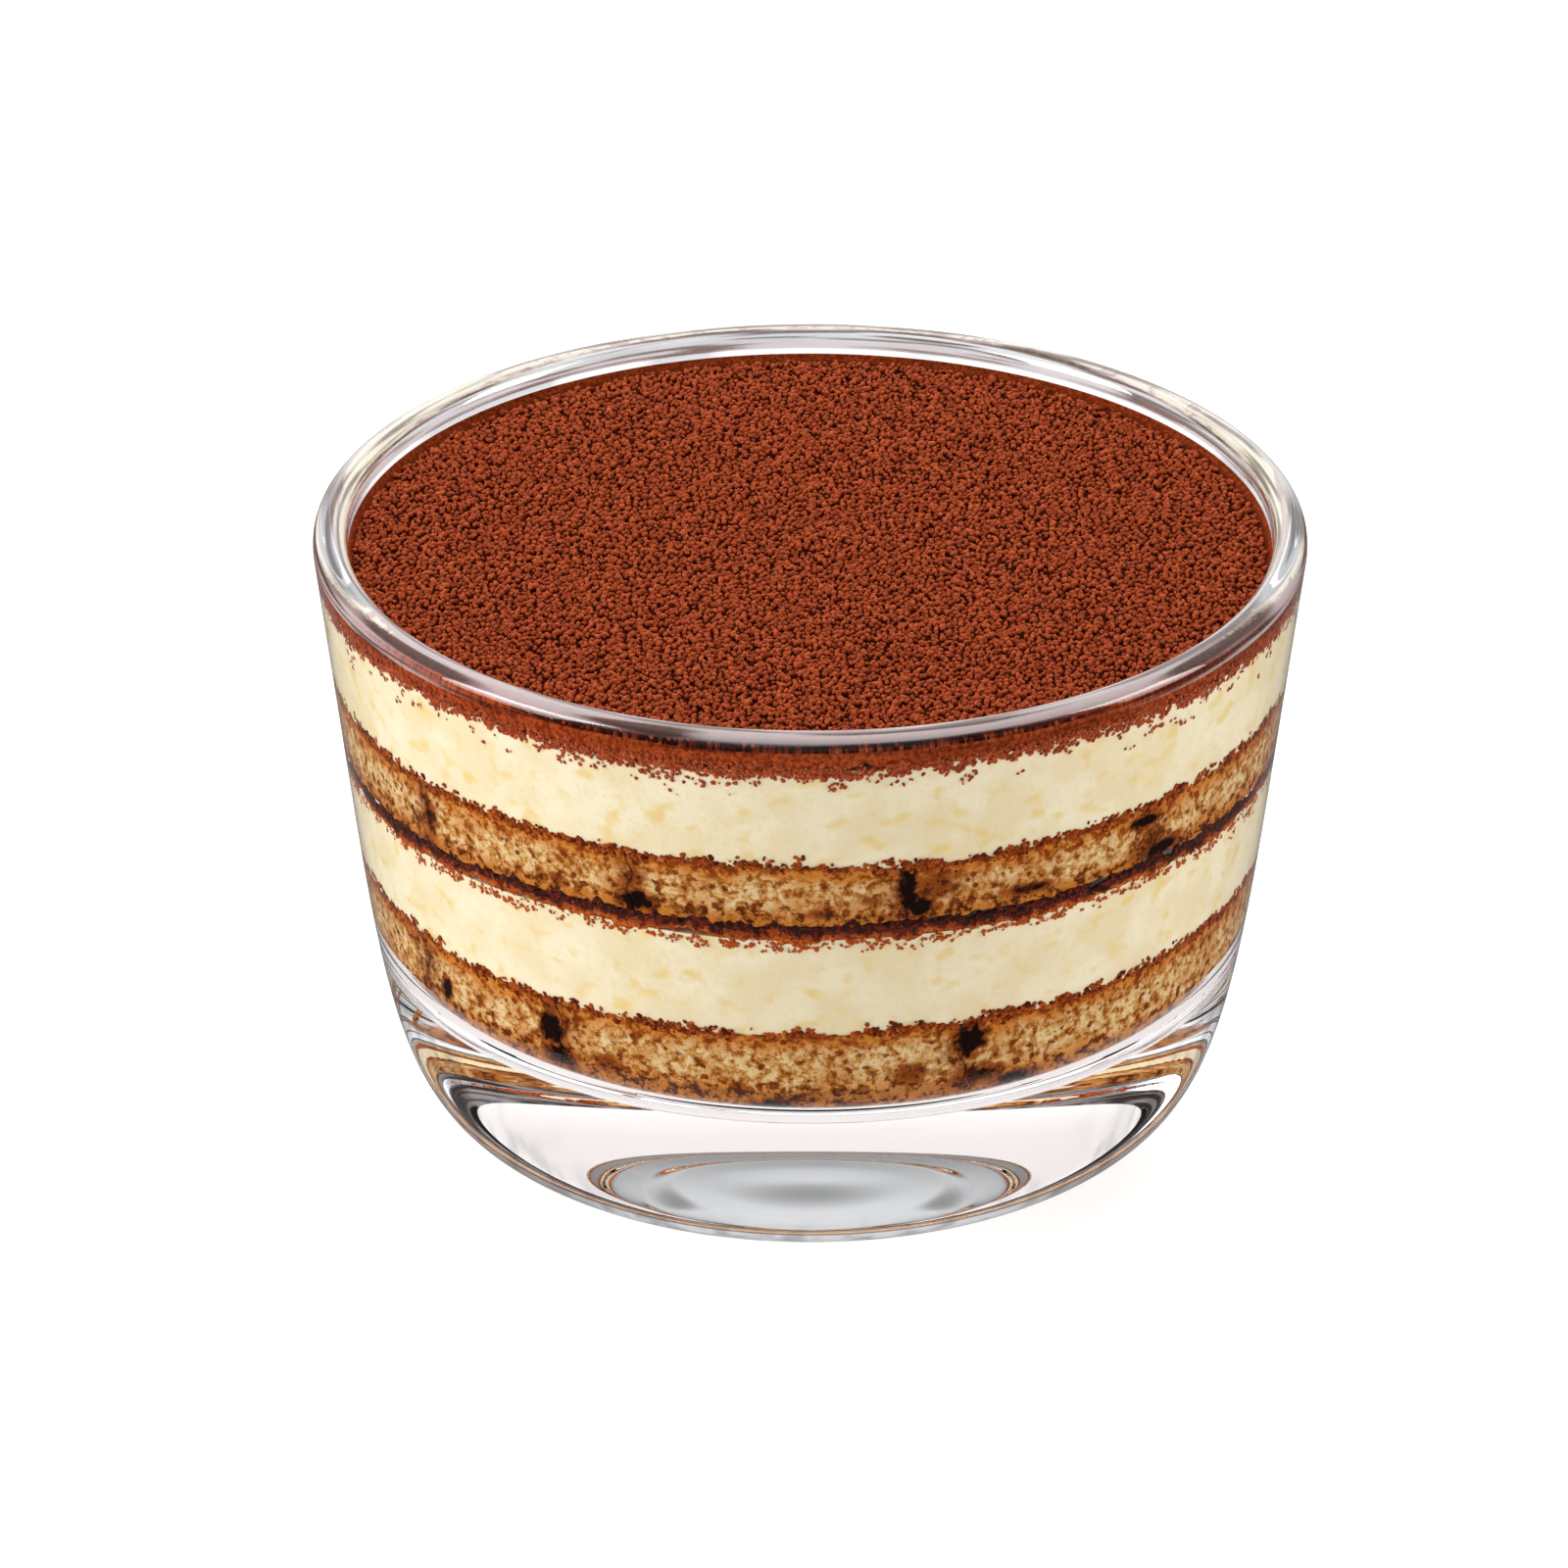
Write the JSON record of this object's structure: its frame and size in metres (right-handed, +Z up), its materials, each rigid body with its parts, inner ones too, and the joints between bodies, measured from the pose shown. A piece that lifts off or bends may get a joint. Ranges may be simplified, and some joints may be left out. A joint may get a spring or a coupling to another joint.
{
  "type": "tiramisu in a glass bowl",
  "caption": "Tiramisu in a clear, tapering glass dessert bowl with a heavy base, its sponge and cream layers showing through the wall and sifted cocoa on top.",
  "frame": {"origin": "centre of the bowl's foot, on the surface that it stands on", "axes": "+Z up along the bowl's axis; -Y is the side that the picture is taken from; +X is to the right of that view"},
  "size_m": [0.095, 0.095, 0.0605],
  "materials": {
    "glass": "clear, fire polished",
    "sponge": "porous baked sponge, soaked brown at its edges",
    "cream": "smooth, aerated cream",
    "coffee": "wet, glossy",
    "cocoa": "dry powder in small clumps"
  },
  "bodies": {
    "root": {"glass_bowl": "glass", "lower_finger_1": "sponge", "lower_finger_2": "sponge", "lower_finger_3": "sponge", "lower_finger_4": "sponge", "lower_cream": "cream", "coffee_layer": "coffee", "upper_finger_1": "sponge", "upper_finger_2": "sponge", "upper_finger_3": "sponge", "upper_finger_4": "sponge", "upper_finger_5": "sponge", "upper_cream": "cream", "cocoa_top": "cocoa"}
  },
  "joints": []
}
